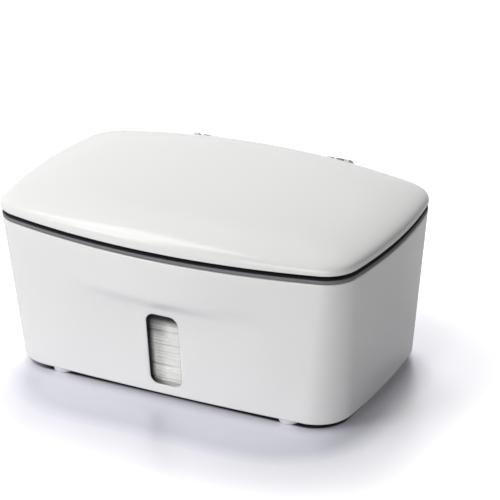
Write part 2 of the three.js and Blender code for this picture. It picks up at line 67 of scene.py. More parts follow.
# Feet: where they stand, the pocket in the tub and the pad, as (radius, z).
FEET = {
    "foot_front_left": (-70, -51.4),
    "foot_front_right": (70, -51.4),
    "foot_rear_left": (-70, 51.4),
    "foot_rear_right": (70, 51.4),
}
FOOT_POCKET = [(6.1, -4), (6.1, 3.3), (2.4, 3.3), (2.4, 4.9)]
FOOT_PAD = [
    (3.9, 0.35),
    (4.3, 0.1),
    (5.0, 0.0),
    (5.35, 0.1),
    (5.65, 0.35),
    (5.8, 0.75),
    (5.8, 3.0),
    (2.1, 3.0),
    (2.1, 4.6),
]

# Hinges: the axis and the barrel's radius; the widths of lug, notch and cheek; the lug's foot,
# the depth of its neck and how far it is sunk into the wall; the cheek's rise over the axis and
# its width there; how far the sleeve stands over the barrel and to the sides; and the pin's
# radius, its radius at the tips and how far it ends short of the cheeks.
HINGE_X, HINGE_Y, HINGE_Z, BARREL = 42.5, 70.873 + SHIFT_Y, 96.8, 2.9
LUG, NOTCH, CHEEK = 4.6, 7.6, 3.4
LUG_FOOT_Z, LUG_NECK, LUG_SUNK = 74, 3.8, 1.2
CHEEK_RISE, CHEEK_TOP = 4.4, 1.2
SLEEVE, SLEEVE_LEFT, SLEEVE_RIGHT = 0.25, 2.4, 3.6
PIN, PIN_TIP, PIN_SHORT = 1.25, 0.9, 0.4

# Lid: round edge, crown and wall. LID_SHARES are the steps up the round edge.
LID = dict(
    lip=1.15, wide=25.6, high=6.2, square=3.12, arch=6.35, camber=0.9, power=2.4, soft=0.8, wall=2.2
)
LID_SHARES = (
    0, 0.03, 0.07, 0.12, 0.18, 0.25, 0.32, 0.4, 0.48, 0.56, 0.64, 0.72, 0.8, 0.88, 0.94, 1
)
LINER_LOW, PLUG_GAP = 86.0, 0.7

# Wipes: one layer's outline, the stack, and the plies and deep folds of six kinds of layer.
WIPE = dict(width=184, depth=106, front_bow=0.9, side_bow=0.9, corner=8)
LAYER, PITCH, LAYERS = 3.8, 4.1, 12
STACK_Y, STACK_Z = -2 + SHIFT_Y, 6.4
PLIES = (2, 3, 2, 2, 3, 2)
DEEP_FOLDS = (1.0, 0.35, 0.8, 0.3, 1.15, 0.45)

# Weighted plate, on top of the stack.
PLATE = dict(width=185, depth=102, front_bow=3, side_bow=3, corner=16)
PLATE_Z, PLATE_HIGH, PLATE_WALL, PLATE_ROUND = STACK_Z + LAYERS * PITCH, 7, 1.8, 1.8
SLOT_LENGTH, SLOT_WIDTH = 80, 16


# Outlines, lofts and cuts.


def bowed(width, depth, front_bow, side_bow, corner):
    """A rectangle of four shallow arcs with round corners tangent to them.

    Gives one quarter's arcs, side, corner and front, as (centre, radius, start, end).
    """
    half_x, half_y = width / 2, depth / 2
    front_r = (half_x**2 + front_bow**2) / (2 * front_bow)
    side_r = (half_y**2 + side_bow**2) / (2 * side_bow)
    front_c, side_c = Vector((0, half_y - front_r)), Vector((half_x - side_r, 0))
    to_front, to_side = front_r - corner, side_r - corner
    apart = (side_c - front_c).length
    unit = (side_c - front_c) / apart
    along = (to_front**2 - to_side**2 + apart**2) / (2 * apart)
    aside = math.sqrt(to_front**2 - along**2)
    corner_c = front_c + unit * along + Vector((unit.y, -unit.x)) * aside
    from_side, from_front = corner_c - side_c, corner_c - front_c
    low, high = math.atan2(from_side.y, from_side.x), math.atan2(from_front.y, from_front.x)
    return (
        (side_c, side_r, 0.0, low),
        (corner_c, corner, low, high),
        (front_c, front_r, high, math.pi / 2),
    )


def outline(shape, inset=0.0, steps=(10, 14, 34)):
    """The outline's points, anticlockwise from +X, taken in by inset."""
    quarter = []
    for (centre, radius, start, end), count in zip(shape, steps):
        for i in range(count):
            a = start + (end - start) * i / count
            quarter.append(centre + Vector((math.cos(a), math.sin(a))) * (radius - inset))
    centre, radius = shape[2][:2]
    quarter.append(Vector((0, centre.y + radius - inset)))
    back = quarter[::-1]
    return (
        quarter
        + [Vector((-p.x, p.y)) for p in back[1:]]
        + [Vector((-p.x, -p.y)) for p in quarter[1:]]
        + [Vector((p.x, -p.y)) for p in back[1:-1]]
    )


def level(points, z, y=0.0):
    """Plan points as a level ring, moved by y."""
    return [Vector((p.x, p.y + y, z)) for p in points]


def shrunk(ring, share, centre_y):
    """The ring scaled in plan about (0, centre_y)."""
    return [Vector((p.x * share, (p.y - centre_y) * share + centre_y, p.z)) for p in ring]


def loft_data(rings, closed=False):
    """Vertices and faces of a skin over rings of equal counts, with caps unless it is closed."""
    count = len(rings[0])
    verts = [p for ring in rings for p in ring]
    faces = []
    bands = len(rings) if closed else len(rings) - 1
    for band in range(bands):
        low, high = band * count, ((band + 1) % len(rings)) * count
        for i in range(count):
            j = (i + 1) % count
            faces.append((low + i, low + j, high + j, high + i))
    if closed:
        return verts, faces
    for start, ring, up in ((0, rings[0], False), ((len(rings) - 1) * count, rings[-1], True)):
        hub = len(verts)
        verts.append(sum(ring, Vector((0, 0, 0))) / count)
        for i in range(count):
            a, b = start + i, start + (i + 1) % count
            faces.append((hub, a, b) if up else (hub, b, a))
    return verts, faces


def merged(*parts):
    """Several (verts, faces) as one."""
    verts, faces = [], []
    for part_verts, part_faces in parts:
        shift = len(verts)
        verts += part_verts
        faces += [tuple(i + shift for i in f) for f in part_faces]
    return verts, faces


def moved(data, x, y):
    return [v + Vector((x, y, 0)) for v in data[0]], data[1]


def mesh_object(name, data):
    """A linked object from (verts, faces) in mm."""
    verts, faces = data
    mesh = bpy.data.meshes.new(name)
    mesh.from_pydata([v * MM for v in verts], [], faces)
    obj = bpy.data.objects.new(name, mesh)
    bpy.context.scene.collection.objects.link(obj)
    return obj


def make(name, data, look, angle=32):
    """A smooth-shaded object from (verts, faces) in mm, with edges over angle kept sharp."""
    obj = mesh_object(name, data)
    obj.data.validate()
    obj.data.materials.append(look)
    shade(obj, angle)
    return obj


def shade(obj, angle):
    mesh = obj.data
    mesh.polygons.foreach_set("use_smooth", [True] * len(mesh.polygons))
    mesh.set_sharp_from_angle(angle=math.radians(angle))
    mesh.update()


def cut(obj, data, operation="DIFFERENCE"):
    """Applies an exact boolean with a tool given as (verts, faces) in mm."""
    tool = mesh_object("tool", data)
    modifier = obj.modifiers.new("cut", "BOOLEAN")
    modifier.operation = operation
    modifier.solver = "EXACT"
    modifier.object = tool
    depsgraph = bpy.context.evaluated_depsgraph_get()
    result = bpy.data.meshes.new_from_object(obj.evaluated_get(depsgraph))
    obj.modifiers.clear()
    old, tool_mesh = obj.data, tool.data
    obj.data = result
    result.name = old.name
    bpy.data.meshes.remove(old)
    bpy.data.objects.remove(tool)
    bpy.data.meshes.remove(tool_mesh)


def round_in(radius, steps):
    """Quarter round as (inset, rise) pairs from a flat face out to an upright one."""
    pairs = []
    for i in range(steps + 1):
        a = math.pi / 2 * i / steps
        pairs.append((radius * (1 - math.sin(a)), radius * (1 - math.cos(a))))
    return pairs


def smoothstep(x, low, high):
    t = min(1, max(0, (x - low) / (high - low)))
    return t * t * (3 - 2 * t)


def circle(radius, steps):
    turns = [2 * math.pi * i / steps for i in range(steps)]
    return [(radius * math.cos(a), radius * math.sin(a)) for a in turns]


def arc(cy, cz, radius, start, end, steps):
    """Points (y, z) of an arc, from start to end in degrees."""
    points = []
    for i in range(steps + 1):
        a = math.radians(start + (end - start) * i / steps)
        points.append((cy + radius * math.cos(a), cz + radius * math.sin(a)))
    return points


def turned(profile, steps=48):
    """A solid of revolution about Z from (radius, z) pairs."""
    return loft_data([[Vector((u, v, z)) for u, v in circle(r, steps)] for r, z in profile])


def extruded(profile, left, right, chamfer=0.35):
    """A solid of a Y-Z profile (anticlockwise seen from +X) from x = left to right, ends eased."""
    centre = sum((Vector(p) for p in profile), Vector((0, 0))) / len(profile)
    eased = ((0, chamfer), (chamfer * 0.3, chamfer * 0.3), (chamfer, 0))
    stations = [(left + x, ease) for x, ease in eased]
    stations += [(right - x, ease) for x, ease in reversed(eased)]
    rings = []
    for x, ease in stations:
        ring = []
        for p in profile:
            v = Vector(p)
            v = v - (v - centre).normalized() * ease
            ring.append(Vector((x, v.x, v.y)))
        rings.append(ring)
    return loft_data(rings)


# The tub's and the seam's forms, which several pieces follow.


def tub_size(z):
    """The tub's outer sizes in plan at a height."""
    share = (z - UNDER_Z) / (SEAM_Z - UNDER_Z)
    return {k: BASE[k] + (SEAM[k] - BASE[k]) * share for k in SEAM}


def brow_push(x, z):
    """How far the front is pushed out by the brow, or in below it."""
    across = max(0, 1 - (x / BROW_SPAN) ** 2) ** 1.25
    if z >= BROW_HIGH:
        return BROW * across * (SEAM_Z - z) / (SEAM_Z - BROW_HIGH)
    if z <= BROW_LOW:
        return -BROW * across * (z - UNDER_Z) / (BROW_LOW - UNDER_Z)
    return BROW * across * (2 * smoothstep(z, BROW_LOW, BROW_HIGH) - 1)


def tub_ring(z, inset):
    ring = []
    for p in outline(bowed(**tub_size(z)), inset):
        push = brow_push(p.x, z) if p.y < 0 else 0
        ring.append(Vector((p.x, p.y - push + SHIFT_Y, z)))
    return ring


def front_y(z):
    """The outer face in the middle of the front."""
    return -tub_size(z)["depth"] / 2 - brow_push(0, z) + SHIFT_Y


def back_y(z, x):
    """The outer face at the back."""
    centre, radius = bowed(**tub_size(z))[2][:2]
    return centre.y + math.sqrt(radius**2 - x**2) + SHIFT_Y


SEAM_SHAPE, WIPE_SHAPE, PLATE_SHAPE = bowed(**SEAM), bowed(**WIPE), bowed(**PLATE)
# The liner's plug, taken in from the seam: the rim's width, the tub's taper there and the gap.
PLUG = RIM_WIDTH + (SEAM["depth"] - tub_size(RIM_Z - RIM_FACE)["depth"]) / 2 + PLUG_GAP


def seam_ring(inset, z):
    return level(outline(SEAM_SHAPE, inset), z, SHIFT_Y)


def plate_ring(inset, z):
    return level(outline(PLATE_SHAPE, inset), z, STACK_Y)


# Materials.


def material(name):
    m = bpy.data.materials.new(name)
    m.use_nodes = True
    tree = m.node_tree
    return m, tree, tree.nodes["Principled BSDF"]


def add(tree, kind, **values):
    """A node with inputs or settings given by name."""
    node = tree.nodes.new(kind)
    for key, value in values.items():
        if key in node.inputs:
            node.inputs[key].default_value = value
        else:
            setattr(node, key, value)
    return node


def textured(tree, scale, detail, rough, stretch=(1, 1, 1)):
    """Noise in the object's own space, whose coordinates are metres."""
    coords = add(tree, "ShaderNodeTexCoord")
    mapping = add(tree, "ShaderNodeMapping")
    mapping.inputs["Scale"].default_value = stretch
    tree.links.new(coords.outputs["Object"], mapping.inputs["Vector"])
    texture = add(tree, "ShaderNodeTexNoise", Scale=scale, Detail=detail, Roughness=rough)
    tree.links.new(mapping.outputs["Vector"], texture.inputs["Vector"])
    return texture.outputs["Fac"]


def ranged(tree, source, low, high, start=0.3, end=0.7):
    """Maps the source's span from start to end, where most noise lies, to low to high."""
    node = add(tree, "ShaderNodeMapRange")
    node.inputs["From Min"].default_value = start
    node.inputs["From Max"].default_value = end
    node.inputs["To Min"].default_value = low
    node.inputs["To Max"].default_value = high
    tree.links.new(source, node.inputs["Value"])
    return node.outputs["Result"]


def joined(tree, operation, a, b):
    node = add(tree, "ShaderNodeMath", operation=operation)
    tree.links.new(a, node.inputs[0])
    tree.links.new(b, node.inputs[1])
    return node.outputs["Value"]


def object_axis(tree, axis):
    """One coordinate in the object's own space, in metres."""
    coords = add(tree, "ShaderNodeTexCoord")
    split = add(tree, "ShaderNodeSeparateXYZ")
    tree.links.new(coords.outputs["Object"], split.inputs["Vector"])
    return split.outputs[axis]


def tinted(tree, source, dark, light, start=0.3, end=0.7):
    """A colour from dark to light over the source's span from start to end."""
    ramp = add(tree, "ShaderNodeValToRGB")
    ramp.color_ramp.elements[0].position = start
    ramp.color_ramp.elements[0].color = (*dark, 1)
    ramp.color_ramp.elements[1].position = end
    ramp.color_ramp.elements[1].color = (*light, 1)
    tree.links.new(source, ramp.inputs["Fac"])
    return ramp.outputs["Color"]


def bumped(tree, shader, layers):
    """Stacks bump nodes: layers is [(height socket, distance in metres, strength), ...]."""
    normal = None
    for height, distance, strength in layers:
        bump = add(tree, "ShaderNodeBump", Strength=strength, Distance=distance)
        tree.links.new(height, bump.inputs["Height"])
        if normal:
            tree.links.new(normal, bump.inputs["Normal"])
        normal = bump.outputs["Normal"]
    tree.links.new(normal, shader.inputs["Normal"])


def moulded_plastic(name, light, dark, rough, grain=0.06, flow=0.25):
    """Moulded plastic: a faint drift of colour, a fine grain and the mould's slow waves."""
    m, tree, shader = material(name)
    drift = textured(tree, 11, 1, 0.3)
    grainy = textured(tree, 2600, 2, 0.5)
    waves = textured(tree, 20, 0, 0.3)
    rubbed = textured(tree, 30, 1, 0.4)
    tree.links.new(tinted(tree, drift, dark, light, 0, 1), shader.inputs["Base Color"])
    tree.links.new(ranged(tree, rubbed, *rough, 0, 1), shader.inputs["Roughness"])
    bumped(tree, shader, [(waves, 0.0004, flow), (grainy, 0.00002, grain)])
    shader.inputs["IOR"].default_value = 1.46
    shader.inputs["Subsurface Weight"].default_value = 0.08
    shader.inputs["Subsurface Scale"].default_value = 0.004
    shader.inputs["Subsurface Radius"].default_value = (1.0, 0.9, 0.8)
    return m


# The bead's painted shade runs from near black to pale over this span of X, and back over this one
# of Z.
BEAD_SHADE_X, BEAD_SHADE_Z = (-0.0088, 0.006), (0.044, 0.052)


def painted_shade_bead():
    """The thin edge round the window: pale grey, with painted shade, near black, at its upper left.
    """
    m = moulded_plastic(
        "window_bead_grey_painted_shade", (0.1, 0.1, 0.1), (0.08, 0.08, 0.08), (0.5, 0.6), grain=0.2, flow=0.1
    )
    tree = m.node_tree
    shader = tree.nodes["Principled BSDF"]
    rightward = ranged(tree, object_axis(tree, "X"), 0, 1, *BEAD_SHADE_X)
    downward = ranged(tree, object_axis(tree, "Z"), 1, 0, *BEAD_SHADE_Z)
    # Painted shade: near black at the left and the top, pale grey elsewhere.
    painted_shade_tone = joined(tree, "MULTIPLY", rightward, downward)
    tint = tinted(tree, painted_shade_tone, (0.008, 0.008, 0.009), (0.5, 0.5, 0.49), 0, 1)
    tree.links.new(tint, shader.inputs["Base Color"])
    shader.inputs["IOR"].default_value = 1.2
    return m


# Where the gasket turns to painted shade, near black, just above its lip, in the gap under the lid.
GAP_SHADE_Z = ((RIM_Z + 2.15) * MM, (RIM_Z + 2.35) * MM)


def silicone_grey():
    """Silicone seal: painted shade, near black, above its lip in the gap under the lid, and dusty
    grey on the lip that shows.
    """
    m, tree, shader = material("gasket_silicone")
    dust = textured(tree, 180, 5, 0.7)
    mix = add(tree, "ShaderNodeMix", data_type="RGBA")
    lip = tinted(tree, dust, (0.17, 0.173, 0.185), (0.205, 0.208, 0.222), 0.3, 0.75)
    tree.links.new(ranged(tree, object_axis(tree, "Z"), 0, 1, *GAP_SHADE_Z), mix.inputs[0])
    tree.links.new(lip, mix.inputs[6])
    # Near black painted shade on the gasket above its lip.
    mix.inputs[7].default_value = (0.004, 0.004, 0.005, 1)
    tree.links.new(mix.outputs[2], shader.inputs["Base Color"])
    shader.inputs["IOR"].default_value = 1.2
    tree.links.new(ranged(tree, dust, 0.5, 0.68), shader.inputs["Roughness"])
    bumped(tree, shader, [(textured(tree, 1800, 2, 0.5), 0.00003, 0.4)])
    return m


# The pane carries painted shade for the dark inside the recess. Its top goes from clear to dark
# grey to black up these spans of Z. Its left goes from near black to grey to clear over these of X,
# and that grey fades out down DIM_FADE_Z.
TOP_GREY_Z, TOP_BLACK_Z = (0.0455, 0.0495), (0.0495, 0.0525)
LEFT_BLACK_X, LEFT_GREY_X = (-0.0094, -0.0066), (-0.0066, 0.003)
DIM_FADE_Z = (0.0385, 0.0445)


def clear_plastic():
    """Clear plastic that lets the light through to what stands behind it, with painted shade along
    its top and left.
    """
    m, tree, shader = material("pane_clear")
    smear = textured(tree, 90, 3, 0.5)
    x, z = object_axis(tree, "X"), object_axis(tree, "Z")
    # Painted shade: dark along the top and the left, for the dark inside the recess.
    top_painted_shade = joined(
        tree, "ADD", ranged(tree, z, 0.92, 0, *TOP_GREY_Z), ranged(tree, z, 0.06, 0, *TOP_BLACK_Z)
    )
    left_painted_shade = joined(
        tree, "MAXIMUM", ranged(tree, x, 0.5, 1, *LEFT_GREY_X), ranged(tree, z, 1, 0, *DIM_FADE_Z)
    )
    side = joined(tree, "MULTIPLY", left_painted_shade, ranged(tree, x, 0.1, 1, *LEFT_BLACK_X))
    painted_shade_tone = joined(tree, "MULTIPLY", top_painted_shade, side)
    tint = tinted(tree, painted_shade_tone, (0, 0, 0), (0.995, 0.995, 0.99), 0, 1)
    tree.links.new(tint, shader.inputs["Base Color"])
    shader.inputs["Transmission Weight"].default_value = 1.0
    shader.inputs["IOR"].default_value = 1.14
    tree.links.new(ranged(tree, smear, 0.03, 0.08), shader.inputs["Roughness"])
    clear = add(tree, "ShaderNodeBsdfTransparent")
    clear.inputs["Color"].default_value = (0.99, 0.99, 0.985, 1)
    path = add(tree, "ShaderNodeLightPath")
    lit = joined(tree, "MAXIMUM", path.outputs["Is Shadow Ray"], path.outputs["Is Diffuse Ray"])
    mix = add(tree, "ShaderNodeMixShader")
    tree.links.new(lit, mix.inputs["Fac"])
    tree.links.new(shader.outputs["BSDF"], mix.inputs[1])
    tree.links.new(clear.outputs["BSDF"], mix.inputs[2])
    tree.links.new(mix.outputs["Shader"], tree.nodes["Material Output"].inputs["Surface"])
    return m


def drawn_steel(name):
    """Bright steel with fine lines along X."""
    m, tree, shader = material(name)
    lines = textured(tree, 3000, 3, 0.6, (0.05, 1, 1))
    tint = tinted(tree, lines, (0.42, 0.42, 0.43), (0.58, 0.58, 0.6))
    tree.links.new(tint, shader.inputs["Base Color"])
    tree.links.new(ranged(tree, lines, 0.22, 0.4), shader.inputs["Roughness"])
    shader.inputs["Metallic"].default_value = 1.0
    bumped(tree, shader, [(lines, 0.00002, 0.3)])
    return m


def wipe_cloth():
    """Moist non-woven cloth: matted fibres, a fine embossed cell and a soft sheen."""
    m, tree, shader = material("wipe_cloth")
    fibres = textured(tree, 900, 6, 0.75, (1, 0.35, 1))
    clumps = textured(tree, 120, 3, 0.6)
    coords = add(tree, "ShaderNodeTexCoord")
    cells = add(tree, "ShaderNodeTexVoronoi", feature="SMOOTH_F1")
    cells.inputs["Scale"].default_value = 620
    tree.links.new(coords.outputs["Object"], cells.inputs["Vector"])
    tint = tinted(tree, clumps, (0.88, 0.875, 0.86), (0.93, 0.925, 0.91))
    tree.links.new(tint, shader.inputs["Base Color"])
    tree.links.new(ranged(tree, fibres, 0.72, 0.95), shader.inputs["Roughness"])
    embossed = cells.outputs["Distance"]
    heights = [(clumps, 0.0006, 0.5), (embossed, 0.00012, 0.5), (fibres, 0.00008, 0.6)]
    bumped(tree, shader, heights)
    shader.inputs["Sheen Weight"].default_value = 0.25
    shader.inputs["Sheen Roughness"].default_value = 0.5
    shader.inputs["Subsurface Weight"].default_value = 0.25
    shader.inputs["Subsurface Scale"].default_value = 0.003
    shader.inputs["Subsurface Radius"].default_value = (1.0, 0.95, 0.9)
    return m


shell_white = moulded_plastic(
    "shell_white", (0.79, 0.786, 0.778), (0.778, 0.774, 0.767), (0.2, 0.24)
)
liner_white = moulded_plastic(
    "liner_white", (0.76, 0.757, 0.745), (0.735, 0.732, 0.722), (0.42, 0.52), grain=0.25, flow=0.15
)
foot_white = moulded_plastic(
    "foot_silicone", (0.72, 0.715, 0.7), (0.68, 0.675, 0.66), (0.5, 0.6), grain=0.3, flow=0.2
)
# Dark grey for the hinge sleeves, pieces that stand in for the shade in the hinge notches.
hinge_shade_grey = moulded_plastic(
    "hinge_shade_grey", (0.2, 0.2, 0.2), (0.17, 0.17, 0.17), (0.4, 0.5), grain=0.2, flow=0.1
)
bead_grey_painted_shade = painted_shade_bead()
gasket_grey = silicone_grey()
pane_clear = clear_plastic()
pin_steel = drawn_steel("pin_steel")
weight_steel = drawn_steel("weight_steel")
cloth = wipe_cloth()


# Tub, with its hinge lugs, window and feet.


def rounded_rectangle(width, height, corner, steps=10):
    points = []
    for sx, sz, start in ((1, -1, -90), (1, 1, 0), (-1, 1, 90), (-1, -1, 180)):
        cx, cz = sx * (width / 2 - corner), sz * (height / 2 - corner)
        points += [Vector(p) for p in arc(cx, cz, corner, start, start + 90, steps)]
    return points


def window_loft(stations, closed=False):
    """A window-shaped solid from (grow, depth behind the face) stations, tilted as the wall is."""
    low, high = WINDOW["z"] - WINDOW["height"] / 2, WINDOW["z"] + WINDOW["height"] / 2
    tilt = math.atan((front_y(low) - front_y(high)) / (high - low))
    middle = Matrix.Translation((0, front_y(WINDOW["z"]), WINDOW["z"]))
    place = middle @ Matrix.Rotation(tilt, 4, "X")
    rings = []
    for grow, depth in stations:
        points = rounded_rectangle(
            WINDOW["width"] + 2 * grow, WINDOW["height"] + 2 * grow, WINDOW["corner"] + grow
        )
        rings.append([place @ Vector((p.x, depth, p.y)) for p in reversed(points)])
    return loft_data(rings, closed)


def tub_skin():
    """The shell: up the outside, over the rim and down the inside, with window and foot pockets."""
    # Levels up the wall, close together across the brow.
    zs = [10, 16, 24, 33, 43, 50]
    zs += [BROW_LOW + (BROW_HIGH - BROW_LOW) * i / 14 for i in range(15)]
    zs += [69, 73, 78, 84]
    outside = [(UNDER_Z + rise, inset) for inset, rise in round_in(2.4, 8)]
    outside += [(z, 0) for z in zs]
    outside += [(RIM_Z - rise, inset) for inset, rise in reversed(round_in(0.8, 4))]
    inside = [(RIM_Z - rise, RIM_WIDTH - inset) for inset, rise in round_in(0.6, 3)]
    inside += [(RIM_Z - RIM_FACE, RIM_WIDTH), (RIM_Z - RIM_ROOT, WALL)]
    inside += [(z, WALL) for z in reversed(zs) if z < 80]
    inside += [(FLOOR_TOP + rise, WALL + inset) for inset, rise in reversed(round_in(1.6, 4))]
    rings = [tub_ring(z, inset) for z, inset in outside + inside]
    skin = make("tub_skin", loft_data(rings), shell_white)
    opening = [(0.5, -4), (0.5, -0.05)] + round_in(0.5, 4)[1:] + [(0, WALL)]
    cut(skin, window_loft(opening))
    pocket = PANE_LAP + PANE_GAP
    cut(skin, window_loft([(pocket, WALL - PANE), (pocket, WALL + 4)]))
    for x, y in FEET.values():
        cut(skin, moved(turned(FOOT_POCKET), x, y + SHIFT_Y))
    shade(skin, 30)
    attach(skin, "tub")
    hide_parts("body_shell")


def lug_data(side):
    """A hinge lug: a gusset on the back wall, a neck past the gasket and a barrel round the pin."""
    rear = HINGE_Y + BARREL
    neck = rear - LUG_NECK
    wall_low = back_y(LUG_FOOT_Z, HINGE_X) - LUG_SUNK
    wall_high = back_y(RIM_Z, HINGE_X) - LUG_SUNK
    turn = math.degrees(math.acos((HINGE_Y - neck) / BARREL))
    profile = [(wall_low, LUG_FOOT_Z), (rear - 0.6, 83.4), (rear, 84.6)]
    profile += arc(HINGE_Y, HINGE_Z, BARREL, 0, 180 + turn, 28)
    profile += [(neck, 87.9), (wall_high, 87.7)]
    return extruded(profile, side * HINGE_X - LUG / 2, side * HINGE_X + LUG / 2)


tub_skin()
for side, word in SIDES:
    x = side * HINGE_X
    lug = make(f"hinge_lug_{word}", lug_data(side), shell_white, 40)
    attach(lug, "tub")
    # A dark sleeve over the barrel stands in for the shade in the notch, reaching further to the
    # right.
    profile = arc(HINGE_Y, HINGE_Z, BARREL + SLEEVE, 0, 352, 44)
    tube = extruded(profile, x - SLEEVE_LEFT, x + SLEEVE_RIGHT)
    sleeve = make(f"hinge_shade_sleeve_{word}", tube, hinge_shade_grey, 40)
    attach(sleeve, "tub")

# Pane and bead stay out of mirror images, which keeps a dark mark off the floor.
stations = [(PANE_LAP - 0.25, 1.5), (PANE_LAP, 1.75), (PANE_LAP, 2.65), (PANE_LAP - 0.25, 2.9)]
pane = make("pane", window_loft(stations), pane_clear, 20)
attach(pane, "tub")
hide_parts("window_pane")
pane.visible_glossy = False

stations = [(0.04, 1.48), (-0.35, 1.48), (-0.35, 0.6), (-0.2, 0.4), (0.04, 0.35)]
bead = make("window_bead", window_loft(stations, True), bead_grey_painted_shade, 40)
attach(bead, "tub")
bead.visible_glossy = False

for name, (x, y) in FEET.items():
    pad = make(f"{name}_pad", moved(turned(FOOT_PAD), x, y + SHIFT_Y), foot_white, 50)
    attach(pad, "tub")
    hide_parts(name)


# Lid, with its cheeks, pins, liner and gasket.


def crown(x, y):
    """The lid's arch from left to right, with a slight camber from front to back."""
    arch = LID["arch"] * (1 - abs(x / HALF_X) ** LID["power"])
    return arch + LID["camber"] * (1 - ((y - SHIFT_Y) / HALF_Y) ** 2)


def lid_ring(share, inner=False):
    """A ring of the round edge, from the seam at share 0 up to the crown at share 1."""
    wall = LID["wall"] if inner else 0
    a = share * math.pi / 2
    fall = LID["wide"] * (1 - max(0, math.cos(a)) ** (2 / LID["square"]))
    rise = LID["high"] * math.sin(a) ** (2 / LID["square"])
    half_x, half_y = HALF_X - wall, HALF_Y - wall
    soft = LID["soft"] * fall / LID["wide"]
    ring = []
    for p in outline(SEAM_SHAPE, wall):
        turn = math.atan2(p.y / half_y, p.x / half_x)
        scaled = Vector((p.x * (half_x - fall) / half_x, p.y * (half_y - fall) / half_y))
        oval = Vector(((half_x - fall) * math.cos(turn), (half_y - fall) * math.sin(turn)))
        at = scaled.lerp(oval, soft)
        y = at.y + SHIFT_Y
        z = SEAM_Z + LID["lip"] + rise - wall + crown(at.x, y) * share
        ring.append(Vector((at.x, y, z)))
    return ring


def crown_rings(inner, shares):
    """Rings of the crown, as shares of the round edge's last ring."""
    edge = lid_ring(1, inner)
    rings = []
    for share in shares:
        ring = []
        for p, q in zip(edge, shrunk(edge, share, SHIFT_Y)):
            ring.append(Vector((q.x, q.y, p.z - crown(p.x, p.y) + crown(q.x, q.y))))
        rings.append(ring)
    return rings


def lid_skin():
    """The shell: out over the inside, round the lower edge and back over the outside."""
    rings = crown_rings(True, [0.15, 0.4, 0.7])
    rings += [lid_ring(share, True) for share in (1, 0.7, 0.45, 0.2)]
    rings += [seam_ring(2.2, SEAM_Z + 0.3), seam_ring(1.95, SEAM_Z + 0.05), seam_ring(1.6, SEAM_Z)]
    rings += [seam_ring(inset, SEAM_Z + rise) for inset, rise in round_in(0.5, 4)]
    rings += [lid_ring(share) for share in LID_SHARES]
    rings += crown_rings(False, [1 - i / 16 for i in range(1, 16)])
    skin = make("lid_skin", loft_data(rings), shell_white)
    front, rear, low, high = HINGE_Y - BARREL - 0.7, 150, 89, 140
    notch = [(front, low), (rear, low), (rear, high), (front, high)]
    for side, _ in SIDES:
        x = side * HINGE_X
        cut(skin, extruded(notch, x - NOTCH / 2, x + NOTCH / 2, 0.01))
    shade(skin, 30)
    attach(skin, "lid")
    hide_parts("lid_shell")


def cheek_data(left, right):
    top, front = HINGE_Z + CHEEK_RISE, HINGE_Y - BARREL
    profile = arc(HINGE_Y, HINGE_Z, BARREL, 180, 396, 26)
    profile += [(front + CHEEK_TOP, top), (front, top)]
    return extruded(profile, left, right, 0.3)


def pin_data(x, reach):
    """A pin along X with eased tips, which ends short of the cheeks' outer faces."""
    left, right = PIN_SHORT - reach, reach - PIN_SHORT
    rings = []
    for along, radius in ((left, PIN_TIP), (left + 0.3, PIN), (right - 0.3, PIN), (right, PIN_TIP)):
        rings.append(
            [Vector((x + along, HINGE_Y + u, HINGE_Z + v)) for u, v in circle(radius, 32)]
        )
    return loft_data(rings)


def liner_skin():
    """The liner: a panel with a groove round it, the plug, and the flange under the lid."""
    low = LINER_LOW
    panel = seam_ring(PLUG + 9, low + 0.5)
    rings = [shrunk(panel, share, SHIFT_Y) for share in (0.3, 0.6, 0.9, 0.98)]
    stations = [(PLUG + 9, low + 0.5), (PLUG + 8.2, low + 0.12), (PLUG + 7.6, low), (PLUG + 2, low)]
    stations += [(PLUG + inset, low + rise) for inset, rise in round_in(1.2, 5)]
    stations += [(PLUG, SEAM_Z - 0.2), (PLUG - 0.2, SEAM_Z), (3.6, SEAM_Z), (3.4, SEAM_Z + 0.2)]
    stations += [(3.4, SEAM_Z + 0.8), (3.6, SEAM_Z + 1)]
    stations += [(PLUG + 1.7, SEAM_Z + 1), (PLUG + 1.7, low + 1.8)]
    rings += [seam_ring(inset, z) for inset, z in stations]
    skin = make("liner_skin", loft_data(rings), liner_white, 35)
    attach(skin, "lid")
    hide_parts("lid_liner")


def gasket_skin():
    """The gasket: a ring round the plug with a rounded lip over the rim."""
    low, top = RIM_Z + 0.3, SEAM_Z - 0.3
    lip = low + 2
    inner = PLUG - 0.3
    section = [(inner, low), (2.2, low), (1.6, low + 0.1), (1.0, low)]
    section += [(0.4 + inset, low + rise) for inset, rise in round_in(0.5, 4)]
    section += [(0.4 + inset, lip - rise) for inset, rise in reversed(round_in(0.7, 5))]
    section += [(4.1, lip), (4.4, lip + 0.3), (4.4, top), (inner, top)]
    rings = [seam_ring(inset, z) for inset, z in section]
    skin = make("gasket_skin", loft_data(rings, closed=True), gasket_grey, 40)
    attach(skin, "lid")
    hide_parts("lid_gasket")


lid_skin()
for side, word in SIDES:
    x = side * HINGE_X
    near, far = NOTCH / 2, NOTCH / 2 + CHEEK
    cheeks = merged(cheek_data(x - far, x - near), cheek_data(x + near, x + far))
    cheek = make(f"hinge_cheeks_{word}", cheeks, shell_white, 40)
    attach(cheek, "lid")
    pin = make(f"pin_{word}", pin_data(x, far), pin_steel, 50)
    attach(pin, "lid")
    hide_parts(f"hinge_pin_{word}")
liner_skin()
gasket_skin()


# Wipes.


